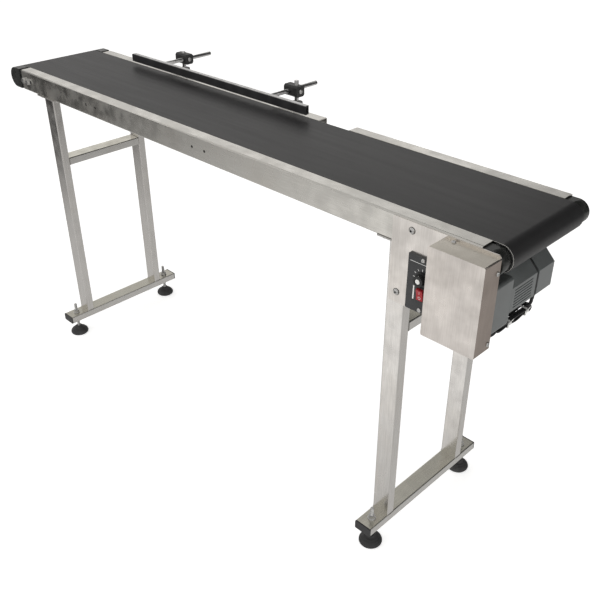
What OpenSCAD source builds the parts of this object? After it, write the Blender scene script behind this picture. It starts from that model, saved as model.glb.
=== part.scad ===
// Belt conveyor section: a short flat-belt conveyor on two leg frames.
// X runs along the belt from tail to drive end, Y across it towards the guide rail, Z up.
// The origin is on the floor under the middle of the frame.

/* [Overall] */
// Length over the belt's two noses
total_l = 1500; // [1440:10:1600]
// Height of the belt's carrying surface above the floor
belt_z = 750; // [720:10:850]
// Width over the side rails
frame_w = 274; // [270:2:300]

/* [Rails] */
// Height of a side rail
rail_h = 50; // [50:1:54]
// Width of the rail's top flange
flange_w = 28; // [26:1:30]
// Thickness of the rail's sheet
rail_t = 2; // [1.5:0.5:2]

/* [Legs] */
// Wide side of the leg tube
tube_w = 40; // [36:1:44]
// Narrow side of the leg tube
tube_d = 20; // [16:1:20]
// Wall of the leg tube
tube_t = 1.5; // [1:0.5:2]
// Length of a foot beam
beam_l = 372; // [360:2:420]
// Height of the underside of a foot beam
beam_z = 48; // [46:1:56]
// Top of the leg's crossbar
crossbar_z = 537; // [400:1:560]

/* [Drive] */
// Side of the square gear motor
motor_w = 90; // [90:1:92]

/* [Guide rail] */
// Length of the guide rail
guide_l = 630; // [500:10:700]
// Gap between the belt and the guide rail
guide_gap = 9; // [9:1:20]

/* [Hidden] */
$fn = 48;
eps = 0.01;
fit = 0.05;                       // radial clearance of a running fit
gap = 0.3;                        // space kept between pieces that only pass each other

half_l = total_l / 2;
web_y = frame_w / 2;
lip_w = 22;
rail_z = belt_z - rail_h;
rail_x0 = -half_l + 60;
rail_x1 = half_l - 40;
hole_z = belt_z - 25;
spare_holes_x = [-390, -350, 10, 50];
spare_hole_r = 3;
notch_x = [134, 222];
notch_h = 22;

belt_t = 2;
belt_w = frame_w - 2 * flange_w - 2;
nose_r = 25;
roller_r = nose_r - belt_t - 0.5;
axis_x = half_l - nose_r;
axis_z = belt_z - nose_r;
idler_r = 10;
idler_x = 240;
idler_z = belt_z - 28 - gap - idler_r;
return_z = belt_z - 28;           // underside of the lifted return run
bed_t = 2;
bed_z = belt_z - belt_t - gap - bed_t;
tie_x = [-520, -170, 170, 520];

// bearing housings
housing_r = 22;
housing_y0 = belt_w / 2 + 3;
housing_y1 = web_y - rail_t - 0.5;
housing_l = 85;
shaft_r = 7.5;
bearing_r = 17.5;
bearing_w = 11;
lock_bolt_x = [46, 67];           // from the tail axis
lock_bolt_r = 4;
take_up = 10;
screw_r = 3;
tab_x = -half_l + 140;
rod_l = 60;
rod_in = 9;                       // depth of the rod in its housing
rod_y = -(housing_y0 + housing_y1) / 2;

// legs
leg_x = [-half_l + 168, half_l - 201];
upright_y = 120;
foot_y = 157;
leg_bolt_dx = 32;
leg_bolt_y = web_y - 11;
beam_top = beam_z + tube_d;
top_plate_t = 3;
upright_z1 = rail_z - top_plate_t;
stud_r = 4;
stud_z1 = 97;
pad_r = 25;

// drive side
plate_t = 2;
plate_y = -web_y;
plate_x0 = half_l - 210;
plate_x1 = half_l - 6;
plate_z0 = belt_z - 163;
plate_z1 = belt_z - 2.5;
plate_bolts = [[plate_x0 + 40, belt_z - 18], [plate_x0 + 17, belt_z - 142]];
motor_x = half_l - 59;
motor_z = belt_z - 114;
output_dz = 18;
gear_m = 1;                       // module of the gear teeth
pinion_n = 12;                    // teeth of the motor pinion and of the layshaft pinion
wheel_n = 32;                     // teeth of the layshaft gear
output_n = 44;                    // teeth of the output gear
box_y0 = -137;
box_y1 = -72;
motor_y1 = 5;
cowl_y0 = 11;
cowl_y1 = 60;
chamfer = 22;                     // of the motor's long corners
groove_w = 2;                     // cooling grooves of the motor: width, depth and pitch
groove_d = 1.2;
groove_pitch = 5.5;
cover_x0 = half_l - 107;
cover_x1 = half_l - 4;
cover_z0 = belt_z - 169;
cover_z1 = belt_z - 6.5;
cover_d = 43;
cover_t = 1.5;
motor_bolt = 37;                  // gearbox bolts, from the motor axis along X and Z
pulley_r = 13;
pulley_y = -158;
timing_w = 12;

// gear centres: the layshaft sits where both gear pairs mesh
stage1_c = gear_m * (pinion_n + wheel_n) / 2;
stage2_c = gear_m * (pinion_n + output_n) / 2;
lay_dz = (stage1_c * stage1_c - stage2_c * stage2_c + output_dz * output_dz) / (2 * output_dz);
lay_dx = -sqrt(stage1_c * stage1_c - lay_dz * lay_dz);
lay_angle = atan2(lay_dz, lay_dx);
out_angle = atan2(output_dz - lay_dz, -lay_dx);

// controller
panel_x = half_l - 140;
panel_w = 60;
panel_h = 105;
panel_z = belt_z - 107.5;
panel_y = plate_y - plate_t;
panel_t = 4;
case_w = 50;
case_h = 91;
case_y1 = -62;
knob_z = belt_z - 95;
front_y = panel_y - panel_t;      // front face of the panel
knob_r = 12.5;
switch_z = belt_z - 124;
switch_tilt = 8;

// guide rail
guide_x = [-520, -520 + guide_l];
guide_z = belt_z + guide_gap + 10;
guide_y = 99;
post_x = [-423, -7];
post_top = [16, 24];              // above the rods' centreline
post_y = 185;
post_r = 5;
rod_x = [-409, -19];
rod_y1 = 262;
clamp_x = [-420, -15];
clamp_w = 42;
clamp_s = 25;
clamp_screw_r = 2.5;

// Routes of the leads, chosen by hand for a 1500 mm frame at a 750 mm belt height. They, and the
// tied bundle between them, follow the drive end when the frame's length or height changes.
lead_r = 2.9;
lead_shift = [half_l - 750, 0, belt_z - 750];
motor_route = [[694, 8, 673], [700, 8, 676], [707, 8, 677], [714, 8, 675], [720, 8, 670], [726, 8, 664],
    [731, 8, 657], [733, 8, 648], [733, 8, 636], [733, 8, 624], [733, 8, 613], [732, 8, 604],
    [731, 8, 597], [729, 5, 592], [725, 1, 589]];
controller_route = [[724, -82, 582], [724, -90, 577], [720, -97, 573], [711, -102, 571], [700, -104, 570],
    [688, -104, 570], [676, -104, 570], [664, -103, 571], [652, -103, 573], [641, -102, 575],
    [631, -101, 578], [622, -100, 582], [615, -100, 588], [612, -100, 597]];
hank_x = [half_l - 34, half_l - 19];
hank_y = [-86, 16];
hank_z = [belt_z - 173, belt_z - 160];
case_exit = controller_route[len(controller_route) - 1] + lead_shift;
tie_y = [-58, -4];
tie_t = 0.9;

// ---------- shared shapes ----------

// Rectangle with true round corners, from its lowest to its highest corner
module round_rect(x0, x1, y0, y1, r) {
    translate([x0 + r, y0]) square([x1 - x0 - 2 * r, y1 - y0]);
    translate([x0, y0 + r]) square([x1 - x0, y1 - y0 - 2 * r]);
    for (x = [x0 + r, x1 - r], y = [y0 + r, y1 - r]) translate([x, y]) circle(r);
}

// Draws an outline in X and Z and gives it a thickness from y0 to y1
module along_y(y0, y1) {
    translate([0, y1, 0]) rotate([90, 0, 0]) linear_extrude(y1 - y0) children();
}

// Draws an outline in Y and Z and gives it a length from x0 to x1
module along_x(x0, x1) {
    translate([x0, 0, 0]) rotate([90, 0, 90]) linear_extrude(x1 - x0) children();
}

// Round bar along Y
module bar_y(x, z, r, y0, y1) {
    translate([x, y1, z]) rotate([90, 0, 0]) cylinder(r = r, h = y1 - y0);
}

// Slot through the rail web, along X
module web_slot(x0, x1, z, r) {
    for (x = [x0, x1]) bar_y(x, z, r, -web_y - 1, -web_y + rail_t + 1);
    translate([x0, -web_y - 1, z - r]) cube([x1 - x0, rail_t + 2, 2 * r]);
}

// Draws its children and their mirror image on the other side of the belt
module both_sides() {
    children();
    mirror([0, 1, 0]) children();
}

// Bolt with a hexagon head and washer; the head's bearing face is at z = 0, shank down
module hex_bolt(r, length) {
    translate([0, 0, -length]) cylinder(r = r, h = length + eps);
    cylinder(r = 2 * r, h = 0.3 * r);
    translate([0, 0, 0.3 * r]) cylinder(r = 1.7 * r, h = 1.3 * r, $fn = 6);
}

// Button-head screw with a domed head and a hexagon socket, bearing face at z = 0
module button_screw(r, length) {
    dome_r = 2.3 * r;
    difference() {
        union() {
            translate([0, 0, -length]) cylinder(r = r, h = length + eps);
            intersection() {
                translate([0, 0, -0.9 * r]) sphere(dome_r);
                cylinder(r = 1.95 * r, h = 2 * r);
            }
        }
        translate([0, 0, 0.5 * r]) cylinder(r = 0.75 * r, h = 2 * r, $fn = 6);
    }
}

// Pan-head screw, bearing face at z = 0, with a cross recess
module pan_screw(r, length) {
    difference() {
        union() {
            translate([0, 0, -length]) cylinder(r = r, h = length + eps);
            cylinder(r = 2 * r, h = 0.6 * r);
            translate([0, 0, 0.6 * r]) cylinder(r1 = 2 * r, r2 = 1.3 * r, h = 0.6 * r, $fn = 32);
        }
        for (a = [0, 90]) rotate(a) translate([-r, -0.2 * r, 0.6 * r]) cube([2 * r, 0.4 * r, r]);
    }
}

// Spur gear with straight-sided teeth: one tooth points along +X of the outline
module gear_outline(teeth) {
    pitch_r = gear_m * teeth / 2;
    root_r = pitch_r - 1.2 * gear_m;
    tip_r = pitch_r + 0.85 * gear_m;
    half_t = 0.2 * PI * gear_m;
    circle(root_r);
    for (i = [0:teeth - 1]) rotate(i * 360 / teeth) polygon([
        [root_r - 0.5, -1.5 * half_t], [root_r, -1.5 * half_t], [tip_r, -0.55 * half_t],
        [tip_r, 0.55 * half_t], [root_r, 1.5 * half_t], [root_r - 0.5, 1.5 * half_t]]);
}

// Gear whose tooth, or tooth gap, faces the given angle in the X-Z plane
module gear(teeth, x, z, y0, y1, facing, tooth = true) {
    turn = facing + (tooth ? 0 : 180 / teeth);
    along_y(y0, y1) translate([x, z]) rotate(turn) gear_outline(teeth);
}

// ---------- rails, bed and belt ----------

module rail_profile() {
    difference() {
        round_rect(-web_y, -web_y + 60, rail_z, belt_z, rail_t + 1);
        round_rect(-web_y + rail_t, -web_y + 70, rail_z + rail_t, belt_z - rail_t, 1);
        translate([-web_y + flange_w, belt_z - rail_t - 1]) square([60, rail_t + 2]);
        translate([-web_y + lip_w, rail_z - 1]) square([60, rail_t + 2]);
    }
}

// Front rail; the back one is its mirror image with other holes
module rail() {
    difference() {
        along_x(rail_x0, rail_x1) rail_profile();
        for (dx = lock_bolt_x) {
            web_slot(-axis_x + dx, -axis_x + dx + take_up, axis_z, lock_bolt_r + gap);
            bar_y(axis_x - dx, axis_z, lock_bolt_r, -web_y - 1, -web_y + rail_t + 1);
        }
        for (x = leg_x, dx = [-leg_bolt_dx, leg_bolt_dx]) translate([x + dx, -leg_bolt_y, rail_z - 1])
            cylinder(r = 3, h = rail_t + 2);
    }
    // welded tab that the belt tension screw runs through
    difference() {
        translate([tab_x, -web_y + rail_t, rail_z + rail_t])
            cube([3, lip_w - rail_t, rail_h - 2 * rail_t]);
        translate([tab_x - 1, rod_y, axis_z])
            rotate([0, 90, 0]) cylinder(r = screw_r + fit, h = 5);
    }
}

module side_rail_front() color("silver") difference() {
    rail();
    bar_y(plate_bolts[0][0], plate_bolts[0][1], 3, -web_y - 1, -web_y + rail_t + 1);
    for (x = spare_holes_x) bar_y(x, hole_z, spare_hole_r, -web_y - 1, -web_y + rail_t + 1);
}

module side_rail_back() color("silver") difference() {
    mirror([0, 1, 0]) rail();
    // sensor notch through the flange and the top of the web
    translate([notch_x[0], web_y - flange_w - 1, belt_z - notch_h])
        cube([notch_x[1] - notch_x[0], flange_w + 2, notch_h + 1]);
    for (x = post_x, dx = [-28, 28]) bar_y(x + dx, hole_z, spare_hole_r + fit, web_y - rail_t - 1, web_y + 1);
}

module slider_bed() color("gainsboro") along_x(-axis_x + 35, axis_x - 35) {
    half = belt_w / 2 - 3;
    translate([-half, bed_z]) square([2 * half, bed_t]);
    for (y = [-half, half - bed_t]) translate([y, bed_z - 12]) square([bed_t, 12]);
}

module cross_ties() color("gainsboro") for (x = tie_x)
    translate([x - 20, -web_y + rail_t, bed_z - 12 - 6]) cube([40, frame_w - 2 * rail_t, 6]);

// Point where the run from an idler meets the nose circle of radius r from below
function run_touch(r, px, pz) =
    let (d = norm([axis_x - px, axis_z - pz]))
    let (slope = atan2(axis_z - pz, axis_x - px) - asin(r / d))
    [axis_x + r * sin(slope), axis_z - r * cos(slope)];

module belt_outline(r, run_z) {
    touch = run_touch(r, idler_x, run_z);
    for (s = [-1, 1]) translate([s * axis_x, axis_z]) circle(r);
    polygon([[-axis_x, axis_z + r], [axis_x, axis_z + r], [axis_x, axis_z], touch, [idler_x, run_z],
        [-idler_x, run_z], [-touch[0], touch[1]], [-axis_x, axis_z]]);
}

module conveyor_belt() color("dimgray") along_y(-belt_w / 2, belt_w / 2) difference() {
    belt_outline(nose_r, return_z);
    belt_outline(nose_r - belt_t, return_z + belt_t);
}

// ---------- rollers ----------

module roller_shell(x, z, r, half, bore) {
    difference() {
        bar_y(x, z, r, -half, half);
        bar_y(x, z, bore, -half - 1, half + 1);
    }
}

// Housing at the drive end, drawn for the front side
module housing_body(r, y0, y1, length) {
    bar_y(axis_x, axis_z, r, y0, y1);
    translate([axis_x - length, y0, axis_z - r]) cube([length, y1 - y0, 2 * r]);
}

module drive_housings() color("black") both_sides() difference() {
    housing_body(housing_r, -housing_y1, -housing_y0, housing_l);
    bar_y(axis_x, axis_z, shaft_r + 1.5, -housing_y1 - 1, -housing_y0 + 1);
    for (dx = lock_bolt_x) bar_y(axis_x - dx, axis_z, lock_bolt_r, -housing_y1 - 1, -housing_y1 + 15);
    bar_y(axis_x, axis_z, bearing_r, -housing_y0 - bearing_w - 0.5, -housing_y0 + 1);
}

module drive_bearings() color("lightgray") both_sides() difference() {
    bar_y(axis_x, axis_z, bearing_r, -housing_y0 - bearing_w - 0.5, -housing_y0 - 0.5);
    bar_y(axis_x, axis_z, shaft_r + fit, -housing_y1, 0);
    difference() {
        bar_y(axis_x, axis_z, 14, -housing_y0 - 1, -housing_y0);
        bar_y(axis_x, axis_z, 11, -housing_y0 - 2, -housing_y0 + 1);
    }
}

module drive_roller() color("darkgray") {
    half = belt_w / 2 - 1;
    roller_shell(axis_x, axis_z, roller_r, half, roller_r - 4);
    for (y0 = [-half + 3, half - 11]) difference() {
        bar_y(axis_x, axis_z, roller_r - 4 + eps, y0, y0 + 8);
        bar_y(axis_x, axis_z, shaft_r, y0 - 1, y0 + 9);
    }
}

module drive_shaft() color("lightgray") bar_y(axis_x, axis_z, shaft_r, -170, housing_y1 - 1);

module toothed_pulley(x, z) {
    for (y0 = [pulley_y - timing_w / 2 - 2, pulley_y + timing_w / 2 + 0.5])
        bar_y(x, z, pulley_r + 3, y0, y0 + 1.5);
    along_y(pulley_y - timing_w / 2 - 0.6, pulley_y + timing_w / 2 + 0.6) translate([x, z]) difference() {
        circle(pulley_r);
        for (a = [0:20:340]) rotate(a) translate([pulley_r - 0.9, -0.9]) square([2, 1.8]);
    }
}

module driven_pulley() color("dimgray") difference() {
    toothed_pulley(axis_x, axis_z);
    bar_y(axis_x, axis_z, shaft_r, -180, -140);
}

module motor_pulley() color("dimgray") difference() {
    toothed_pulley(motor_x, motor_z + output_dz);
    bar_y(motor_x, motor_z + output_dz, shaft_r, -180, -140);
}

module loop_outline(r) hull() {
    translate([axis_x, axis_z]) circle(r, $fn = 40);
    translate([motor_x, motor_z + output_dz]) circle(r, $fn = 40);
}

module timing_belt() color("#202020")
    along_y(pulley_y - timing_w / 2, pulley_y + timing_w / 2) difference() {
        loop_outline(pulley_r + gap + 1.9);
        loop_outline(pulley_r + gap);
    }

module tail_housings() color("black") both_sides() difference() {
    mirror([1, 0, 0]) {
        housing_body(housing_r, -housing_y1, -housing_y0, housing_l);
        // the nose is as deep as the rail and flush with its web
        housing_body(nose_r, -web_y, -housing_y0, axis_x + rail_x0 - take_up - gap);
    }
    bar_y(-axis_x, axis_z, shaft_r + fit, -web_y + 3, -housing_y0 + 1);
    for (dx = lock_bolt_x) bar_y(-axis_x + dx, axis_z, lock_bolt_r, -housing_y1 - 1, -housing_y1 + 15);
    translate([-axis_x + housing_l - rod_in, rod_y, axis_z])
        rotate([0, 90, 0]) cylinder(r = screw_r, h = 20);
}

module tail_shaft() color("lightgray") bar_y(-axis_x, axis_z, shaft_r, -housing_y1 + 1, housing_y1 - 1);

module tail_bolts() color("gainsboro") both_sides() {
    for (dx = lock_bolt_x) translate([-axis_x + dx, -web_y - gap, axis_z]) rotate([90, 0, 0])
        hex_bolt(lock_bolt_r, web_y + gap - housing_y1 + 14);
    // tension rod along the rail, through the tab and its nut
    translate([-axis_x + housing_l - rod_in, rod_y, axis_z])
        rotate([0, 90, 0]) cylinder(r = screw_r, h = rod_l);
}

module tail_roller() color("darkgray") {
    half = belt_w / 2 - 1;
    roller_shell(-axis_x, axis_z, roller_r, half, roller_r - 4);
    // pressed-in bearing at each end
    for (y0 = [-half + 2, half - 13]) difference() {
        bar_y(-axis_x, axis_z, roller_r - 4 + eps, y0, y0 + bearing_w);
        bar_y(-axis_x, axis_z, shaft_r + fit, y0 - 1, y0 + bearing_w + 1);
    }
}

module return_roller(x) roller_shell(x, idler_z, idler_r, belt_w / 2 - 1, 4 + fit);
module return_roller_tail() color("silver") return_roller(-idler_x);
module return_roller_drive() color("silver") return_roller(idler_x);
module return_axles() color("gray") for (x = [-idler_x, idler_x])
    bar_y(x, idler_z, 4, -web_y + rail_t, web_y - rail_t);

// ---------- legs ----------

module tube_outline(w, d) difference() {
    round_rect(-w / 2, w / 2, -d / 2, d / 2, 2.5);
    round_rect(-w / 2 + tube_t, w / 2 - tube_t, -d / 2 + tube_t, d / 2 - tube_t, 1);
}

module uprights(x) for (s = [-1, 1]) translate([x, s * upright_y, beam_top])
    linear_extrude(upright_z1 - beam_top) tube_outline(tube_w, tube_d);

module uprights_tail() color("silver") uprights(leg_x[0]);
module uprights_drive() color("silver") uprights(leg_x[1]);

module leg_crossbars() color("silver") for (x = leg_x)
    along_y(-upright_y + tube_d / 2, upright_y - tube_d / 2)
        translate([x, crossbar_z - tube_d / 2]) tube_outline(tube_w, tube_d);

module foot_beams() color("silver") for (x = leg_x) difference() {
    along_y(-beam_l / 2 + 3, beam_l / 2 - 3) translate([x, beam_z + tube_d / 2]) tube_outline(tube_w, tube_d);
    for (y = [-foot_y, foot_y]) translate([x, y, beam_z - 1]) cylinder(r = stud_r + 0.4, h = tube_d + 2);
}

module beam_end_caps() color("#181818") both_sides() for (x = leg_x) {
    along_y(-beam_l / 2, -beam_l / 2 + 3) translate([x, beam_z + tube_d / 2])
        round_rect(-tube_w / 2, tube_w / 2, -tube_d / 2, tube_d / 2, 2.5);
    along_y(-beam_l / 2 + 3 - eps, -beam_l / 2 + 13) translate([x, beam_z + tube_d / 2]) difference() {
        round_rect(-tube_w / 2 + 2, tube_w / 2 - 2, -tube_d / 2 + 2, tube_d / 2 - 2, 1);
        round_rect(-tube_w / 2 + 4, tube_w / 2 - 4, -tube_d / 2 + 4, tube_d / 2 - 4, 1);
    }
}

module leg_top_plates() color("gainsboro") both_sides() for (x = leg_x) difference() {
    translate([x, -web_y + 14, upright_z1]) linear_extrude(top_plate_t) round_rect(-44, 44, -14, 14, 3);
    for (dx = [-leg_bolt_dx, leg_bolt_dx]) translate([x + dx, -leg_bolt_y, upright_z1 - 1])
        cylinder(r = 3, h = top_plate_t + 2);
}

module frame_bolts() color("gainsboro") {
    for (x = leg_x, s = [-1, 1]) {
        // leg top plates to the rail's lower flange, driven from below
        for (dx = [-leg_bolt_dx, leg_bolt_dx]) translate([x + dx, s * leg_bolt_y, upright_z1])
            rotate([180, 0, 0]) hex_bolt(3, top_plate_t + rail_t + 4);
    }
    // drive side plate to the rail, and to the spacer on the upright
    for (p = plate_bolts) translate([p[0], panel_y, p[1]]) rotate([90, 0, 0]) button_screw(3, plate_t + rail_t);
    // drive housings, from both sides, and the gearbox
    for (dx = lock_bolt_x) {
        translate([axis_x - dx, panel_y, axis_z]) rotate([90, 0, 0])
            hex_bolt(lock_bolt_r, -panel_y - housing_y1 + 14);
        translate([axis_x - dx, web_y, axis_z]) rotate([-90, 0, 0])
            hex_bolt(lock_bolt_r, web_y - housing_y1 + 14);
    }
    for (dx = [-motor_bolt, motor_bolt], dz = [-motor_bolt, motor_bolt])
        translate([motor_x + dx, panel_y, motor_z + dz]) rotate([90, 0, 0]) hex_bolt(2.5, plate_t + 5);
    // set screws that hold the guide posts
    for (x = post_x) translate([x, post_y + 14, hole_z]) rotate([-90, 0, 0]) hex_bolt(3, 14 - post_r - gap);
    // guide brackets to the back rail
    for (x = post_x, dx = [-28, 28]) translate([x + dx, web_y + 6, hole_z]) rotate([-90, 0, 0])
        hex_bolt(3, 6 + rail_t);
}

module lock_nuts() color("gainsboro") {
    for (x = leg_x, y = [-foot_y, foot_y]) translate([x, y, 0]) difference() {
        union() {
            translate([0, 0, beam_top]) cylinder(r = 9, h = 1.5);
            translate([0, 0, beam_top + 1.5]) cylinder(r = 7.4, h = 6.5, $fn = 6);
            translate([0, 0, beam_z - 6.5]) cylinder(r = 7.4, h = 6.5, $fn = 6);
        }
        translate([0, 0, beam_z - 10]) cylinder(r = stud_r + fit, h = 60);
    }
    // tension nuts, each between its tab and the tail housing
    both_sides() translate([tab_x - 5, rod_y, axis_z]) rotate([0, 90, 0]) difference() {
        cylinder(r = 5.8, h = 5, $fn = 6);
        translate([0, 0, -1]) cylinder(r = screw_r + fit, h = 7);
    }
}

// Levelling foot: a threaded stud standing in a domed round pad
module levelling_foot(x, y) translate([x, y, 0]) {
    rotate_extrude($fn = 64) polygon([[0, 0], [pad_r - 4, 0], [pad_r - 1, 2], [pad_r, 5], [pad_r - 1, 9],
        [pad_r - 5, 14], [pad_r - 11, 18], [10, 20], [9, 23], [0, 23]]);
    translate([0, 0, 22]) cylinder(r = stud_r, h = stud_z1 - 22);
}

module foot_tail_front() color("#202020") levelling_foot(leg_x[0], -foot_y);
module foot_tail_back() color("#202020") levelling_foot(leg_x[0], foot_y);
module foot_drive_front() color("#202020") levelling_foot(leg_x[1], -foot_y);
module foot_drive_back() color("#202020") levelling_foot(leg_x[1], foot_y);

// ---------- drive side ----------

module drive_side_plate() color("#d8d2c8") {
    difference() {
        along_y(panel_y, plate_y) difference() {
            round_rect(plate_x0, plate_x1, plate_z0, plate_z1, 4);
            translate([axis_x, axis_z]) circle(12);
            translate([motor_x, motor_z + output_dz]) circle(17);
            translate([panel_x, panel_z]) square([case_w + 1, case_h + 1], center = true);
            for (dx = lock_bolt_x) translate([axis_x - dx, axis_z]) circle(lock_bolt_r);
            for (dx = [-motor_bolt, motor_bolt], dz = [-motor_bolt, motor_bolt])
                translate([motor_x + dx, motor_z + dz]) circle(2.5);
        }
        for (p = plate_bolts) bar_y(p[0], p[1], 3, panel_y - 1, plate_y + 1);
    }
    // spacer between the plate and the front upright
    difference() {
        bar_y(plate_bolts[1][0], plate_bolts[1][1], 8, plate_y - eps, -upright_y - tube_d / 2);
        bar_y(plate_bolts[1][0], plate_bolts[1][1], 3, plate_y - 5, -upright_y);
    }
    // tabs that take the cover's screws
    difference() {
        translate([cover_x0 + 12, panel_y - 14, cover_z1 - cover_t - 2]) cube([18, 14 + eps, 2]);
        translate([cover_x0 + 21, panel_y - 6, cover_z1 - 10]) cylinder(r = 2, h = 10);
    }
    for (dz = [-23, -150]) difference() {
        translate([cover_x1 - cover_t - 2, panel_y - 14, cover_z1 + dz - 9]) cube([2, 14 + eps, 18]);
        translate([cover_x1 - 10, panel_y - 7, cover_z1 + dz]) rotate([0, 90, 0]) cylinder(r = 2, h = 10);
    }
}

module drive_cover() color("#d6d0c8") difference() {
    along_y(panel_y - cover_d, panel_y) round_rect(cover_x0, cover_x1, cover_z0, cover_z1, 2.5);
    along_y(panel_y - cover_d + cover_t, panel_y + 1)
        round_rect(cover_x0 + cover_t, cover_x1 - cover_t, cover_z0 + cover_t, cover_z1 - cover_t, 1);
    translate([cover_x0 + 21, panel_y - 6, cover_z1 - 5]) cylinder(r = 2, h = 10);
    for (dz = [-23, -150]) translate([cover_x1 - 5, panel_y - 7, cover_z1 + dz]) rotate([0, 90, 0])
        cylinder(r = 2, h = 10);
}

module small_screws() color("white") {
    translate([cover_x0 + 21, panel_y - 6, cover_z1]) pan_screw(2, 3.4);
    for (dz = [-23, -150]) translate([cover_x1, panel_y - 7, cover_z1 + dz]) rotate([0, 90, 0])
        pan_screw(2, 3.4);
    for (dz = [-47, 47]) translate([panel_x, front_y, panel_z + dz]) rotate([90, 0, 0])
        pan_screw(2, panel_t - 0.5);
}

module box_outline(w, r) translate([motor_x, motor_z]) round_rect(-w / 2, w / 2, -w / 2, w / 2, r);

// Square outline with its corners cut off
module motor_outline(w, c) translate([motor_x, motor_z]) intersection() {
    square(w, center = true);
    rotate(45) square((w - c) * sqrt(2), center = true);
}

module gearbox_housing() color("#5b605e") difference() {
    union() {
        along_y(box_y0, box_y1) box_outline(motor_w, 6);
        bar_y(motor_x, motor_z + output_dz, 16.5, box_y0 - plate_t, box_y0 + eps);
    }
    along_y(box_y0 + 8, box_y1 - 5) box_outline(motor_w - 6, 4);
    bar_y(motor_x, motor_z + output_dz, shaft_r + fit, box_y0 - 10, box_y0 + 10);
    bar_y(motor_x, motor_z, 7.5, box_y1 - 6, box_y1 + 1);
    bar_y(motor_x + lay_dx, motor_z + lay_dz, 4 + fit, box_y0 + 3, box_y1 - 1.5);
    for (dx = [-motor_bolt, motor_bolt], dz = [-motor_bolt, motor_bolt])
        bar_y(motor_x + dx, motor_z + dz, 2.5, box_y0 - 1, box_y0 + 6);
}

module motor_housing() color("#5b605e") difference() {
    union() {
        along_y(box_y1, motor_y1) motor_outline(motor_w, chamfer);
        bar_y(motor_x, motor_z, 36, motor_y1 - eps, cowl_y0);
    }
    bar_y(motor_x, motor_z, 40, box_y1 + 6, motor_y1 - 5);
    bar_y(motor_x, motor_z, 6 + fit, box_y1 - 1, cowl_y0 + 1);
    bar_y(motor_x, motor_z, 7.5, box_y1 - 1, box_y1 + 4);
    // shallow cooling grooves along each flat side
    for (a = [0:90:270], k = [-3:3]) along_y(box_y1 + 10, motor_y1 - 12) translate([motor_x, motor_z])
        rotate(a) translate([motor_w / 2 - groove_d, k * groove_pitch - groove_w / 2]) square([5, groove_w]);
}

module motor_stator() color("#7a4a2a") difference() {
    bar_y(motor_x, motor_z, 40 - fit, box_y1 + 10, motor_y1 - 9);
    bar_y(motor_x, motor_z, 29, box_y1, motor_y1);
}

module motor_rotor() color("gray") {
    bar_y(motor_x, motor_z, 6, box_y1 - 4, cowl_y1 - 10);
    bar_y(motor_x, motor_z, 28.5, box_y1 + 12, motor_y1 - 11);
    gear(pinion_n, motor_x, motor_z, box_y1 - 19, box_y1 - 4 + eps, lay_angle);
}

module cooling_fan() color("#303030") difference() {
    union() {
        bar_y(motor_x, motor_z, 11, cowl_y0 + 8, cowl_y0 + 32);
        bar_y(motor_x, motor_z, 33, cowl_y0 + 8, cowl_y0 + 10);
        for (a = [0:45:315]) translate([motor_x, 0, motor_z]) rotate([0, a, 0])
            translate([9, cowl_y0 + 9, -1]) cube([24, 20, 2]);
    }
    bar_y(motor_x, motor_z, 6, cowl_y0, cowl_y1);
}

module fan_cowl() color("#5b605e") difference() {
    along_y(cowl_y0, cowl_y1) motor_outline(motor_w, chamfer);
    along_y(cowl_y0 + 2, cowl_y1 - 2) motor_outline(motor_w - 4, chamfer - 1);
    bar_y(motor_x, motor_z, 36 + fit, cowl_y0 - 1, cowl_y0 + 3);
    // air slots in the back wall, in rows that shorten towards the top and bottom
    for (k = [-3:3]) let (half = sqrt(34 * 34 - k * k * 81))
        translate([motor_x - half, cowl_y1 - 3, motor_z + 9 * k - 2]) cube([2 * half, 5, 4]);
}

module layshaft_gear() color("gray") {
    x = motor_x + lay_dx;
    z = motor_z + lay_dz;
    bar_y(x, z, 4, box_y0 + 4, box_y1 - 2);
    gear(wheel_n, x, z, box_y1 - 18, box_y1 - 10, lay_angle + 180, false);
    gear(pinion_n, x, z, box_y1 - 38, box_y1 - 18 + eps, out_angle);
}

module output_shaft() color("gray") {
    z = motor_z + output_dz;
    bar_y(motor_x, z, shaft_r, -168, box_y1 - 21);
    gear(output_n, motor_x, z, box_y1 - 36, box_y1 - 22, out_angle + 180, false);
}

// ---------- controller ----------

module controller_panel() color("#26282a") difference() {
    along_y(front_y, panel_y) translate([panel_x, panel_z])
        round_rect(-panel_w / 2, panel_w / 2, -panel_h / 2, panel_h / 2, 2);
    bar_y(panel_x, knob_z, 3.5, panel_y - 10, panel_y + 10);
    translate([panel_x - 8, panel_y - 10, switch_z - 12.4]) cube([16, 20, 24.8]);
    for (dz = [-47, 47]) bar_y(panel_x, panel_z + dz, 2, panel_y - 10, panel_y + 10);
}

module controller_case() color("#1c1e20") difference() {
    along_y(panel_y, case_y1) translate([panel_x, panel_z]) square([case_w, case_h], center = true);
    along_y(panel_y - 1, case_y1 - 2) translate([panel_x, panel_z])
        square([case_w - 4, case_h - 4], center = true);
    translate([case_exit[0], case_exit[1], panel_z - case_h / 2 - 1])
        cylinder(r = lead_r + fit, h = 5);
}

module controller_board() color("darkgreen") {
    translate([panel_x - 20, panel_y + 30, panel_z - 40]) cube([40, 1.6, 80]);
    // speed potentiometer that the knob's shaft turns in
    difference() {
        bar_y(panel_x, knob_z, 8, panel_y + 2, panel_y + 31);
        bar_y(panel_x, knob_z, 3 + fit, panel_y, panel_y + 21);
    }
    // smoothing capacitor and terminal block
    bar_y(panel_x - 9, panel_z - 25, 8, panel_y + 31, panel_y + 60);
    translate([panel_x + 2, panel_y + 31, panel_z - 34]) cube([16, 14, 24]);
}

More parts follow.
